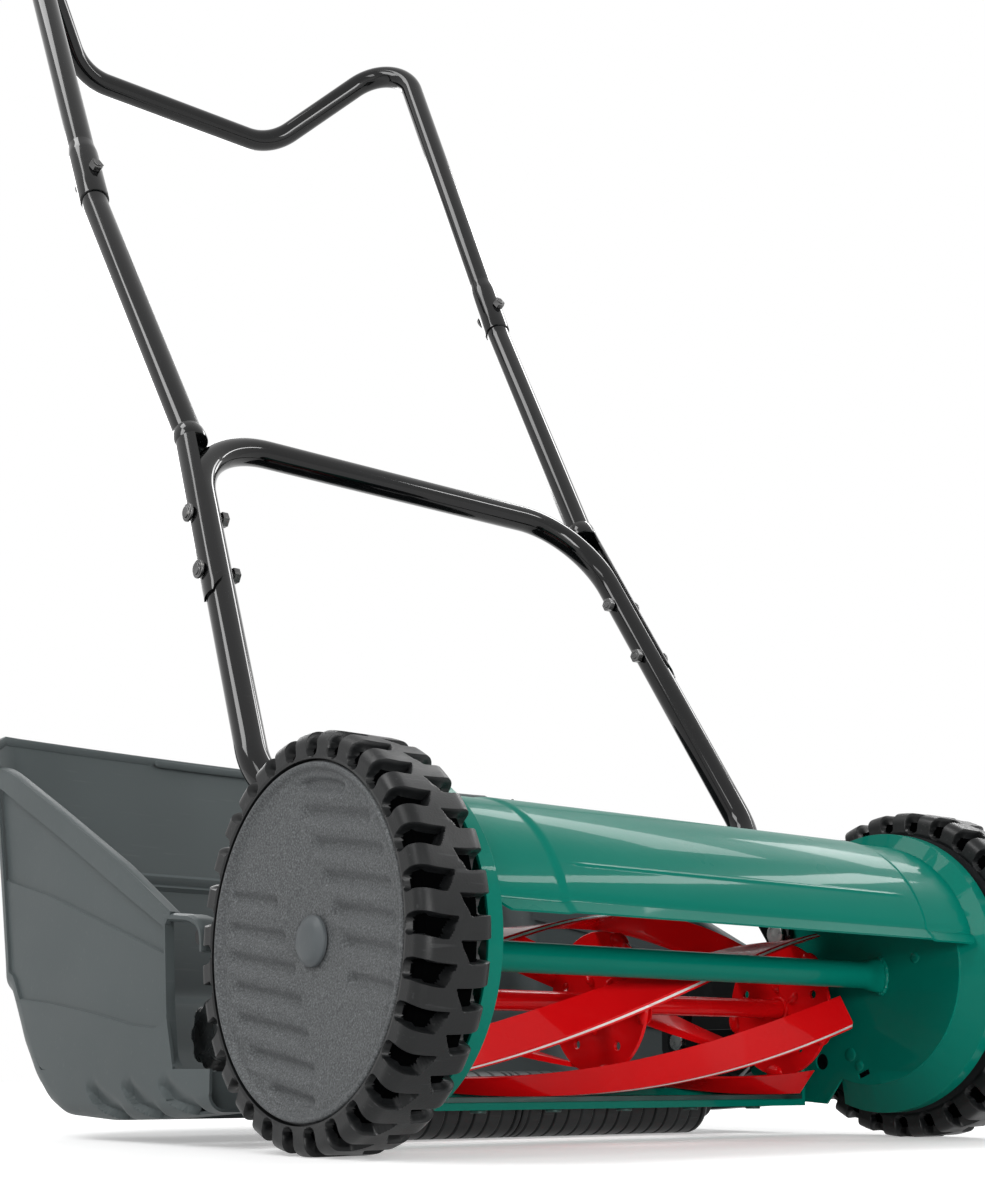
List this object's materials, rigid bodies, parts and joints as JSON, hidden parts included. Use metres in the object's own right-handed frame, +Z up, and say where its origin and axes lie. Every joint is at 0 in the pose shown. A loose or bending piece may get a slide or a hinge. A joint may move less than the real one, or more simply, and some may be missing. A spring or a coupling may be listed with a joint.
{
  "type": "reel mower",
  "caption": "Push reel mower: geared wheels drive a helical-bladed reel over a bedknife, with a rear roller, a tall tubular handle and a hooked grass box.",
  "frame": {"origin": "on the ground, under the middle of the wheel axle", "axes": "+X to the mower's right as the user walks behind it, -Y to the front (the way it mows), +Z up"},
  "size_m": [0.56, 0.8766, 1.1666],
  "materials": {
    "green_paint": "gloss",
    "red_paint": "gloss",
    "black_paint": "gloss",
    "steel": "bright zinc",
    "gear_steel": "dark",
    "black_plastic": "matt",
    "wheel_plastic": "matt",
    "cover_plastic": "speckled grey",
    "tyre_rubber": "matt",
    "roller_plastic": "satin",
    "box_plastic": "satin"
  },
  "bodies": {
    "frame": {"side_plate_left": "green_paint", "side_plate_right": "green_paint", "tie_bar": "green_paint", "shroud": "green_paint", "shroud_rivets": "steel", "bedknife_bar": "green_paint", "bedknife": "steel", "bedknife_screws": "steel", "reel_bearing_left": "black_plastic", "reel_bearing_right": "black_plastic", "axle_left": "steel", "axle_right": "steel", "axle_nut_left": "steel", "axle_nut_right": "steel", "rear_carrier_left": "black_plastic", "rear_carrier_right": "black_plastic", "carrier_screws": "steel", "roller_arm_pivots": "steel", "handle_pivots": "steel"},
    "wheel_left": {"wheel_left": "wheel_plastic", "tyre_left": "tyre_rubber", "wheel_cover_left": "cover_plastic", "wheel_cap_left": "black_plastic"},
    "wheel_right": {"wheel_right": "wheel_plastic", "tyre_right": "tyre_rubber", "wheel_cover_right": "cover_plastic", "wheel_cap_right": "black_plastic"},
    "reel": {"reel_shaft": "red_paint", "reel_disc_left": "red_paint", "reel_disc_middle": "red_paint", "reel_disc_right": "red_paint", "reel_blade_1": "red_paint", "reel_blade_2": "red_paint", "reel_blade_3": "red_paint", "reel_blade_4": "red_paint", "reel_blade_5": "red_paint", "ratchet_key_left": "steel", "ratchet_key_right": "steel", "pinion_circlips": "gear_steel"},
    "pinion_left": {"pinion_left": "gear_steel"},
    "pinion_right": {"pinion_right": "gear_steel"},
    "roller_frame": {"roller_arm_left": "black_paint", "roller_arm_right": "black_paint", "roller_axle": "steel", "roller_clips": "steel", "knob_bolt_left": "steel", "knob_bolt_right": "steel"},
    "roller": {"roller_left": "roller_plastic", "roller_right": "roller_plastic"},
    "height_knob_left": {"height_knob_left": "black_plastic"},
    "height_knob_right": {"height_knob_right": "black_plastic"},
    "handle": {"lower_handle": "black_paint", "middle_tube_left": "black_paint", "middle_tube_right": "black_paint", "top_handle": "black_paint", "middle_tube_bolts": "steel", "middle_tube_nuts": "steel", "grip_bolts": "steel", "grip_nuts": "steel"},
    "grass_box": {"grass_box": "box_plastic"}
  },
  "joints": [
    {"name": "wheel_left_spin", "type": "hinge", "parent": "frame", "child": "wheel_left", "pos_m": [-0.256, 0, 0.12], "axis": [1, 0, 0], "continuous": true},
    {"name": "wheel_right_spin", "type": "hinge", "parent": "frame", "child": "wheel_right", "pos_m": [0.256, 0, 0.12], "axis": [1, 0, 0], "continuous": true},
    {"name": "reel_spin", "type": "hinge", "parent": "frame", "child": "reel", "pos_m": [0, 0.06638, 0.0941], "axis": [1, 0, 0], "continuous": true},
    {"name": "pinion_left_spin", "type": "hinge", "parent": "frame", "child": "pinion_left", "pos_m": [-0.24, 0.06638, 0.0941], "axis": [1, 0, 0], "continuous": true},
    {"name": "pinion_right_spin", "type": "hinge", "parent": "frame", "child": "pinion_right", "pos_m": [0.24, 0.06638, 0.0941], "axis": [1, 0, 0], "continuous": true},
    {"name": "height_swing", "type": "hinge", "parent": "frame", "child": "roller_frame", "pos_m": [0, 0.1, 0.072], "axis": [1, 0, 0], "range_deg": [-20, 20]},
    {"name": "roller_spin", "type": "hinge", "parent": "roller_frame", "child": "roller", "pos_m": [0, 0.174, 0.024], "axis": [1, 0, 0], "continuous": true},
    {"name": "height_knob_left_turn", "type": "hinge", "parent": "roller_frame", "child": "height_knob_left", "pos_m": [-0.225, 0.193, 0.072], "axis": [1, 0, 0], "range_deg": [0, 360]},
    {"name": "height_knob_right_turn", "type": "hinge", "parent": "roller_frame", "child": "height_knob_right", "pos_m": [0.225, 0.193, 0.072], "axis": [1, 0, 0], "range_deg": [0, 360]},
    {"name": "handle_tilt", "type": "hinge", "parent": "frame", "child": "handle", "pos_m": [0, 0.082, 0.152], "axis": [1, 0, 0], "range_deg": [0, 40]},
    {"name": "grass_box_tilt", "type": "hinge", "parent": "frame", "child": "grass_box", "pos_m": [0, 0.15, 0.133], "axis": [1, 0, 0], "range_deg": [0, 25]}
  ],
  "couplings": [
    {"joint": "reel_spin", "follows": "wheel_left_spin", "ratio": 5.75},
    {"joint": "pinion_left_spin", "follows": "wheel_left_spin", "ratio": 5.75},
    {"joint": "pinion_right_spin", "follows": "wheel_right_spin", "ratio": 5.75}
  ]
}
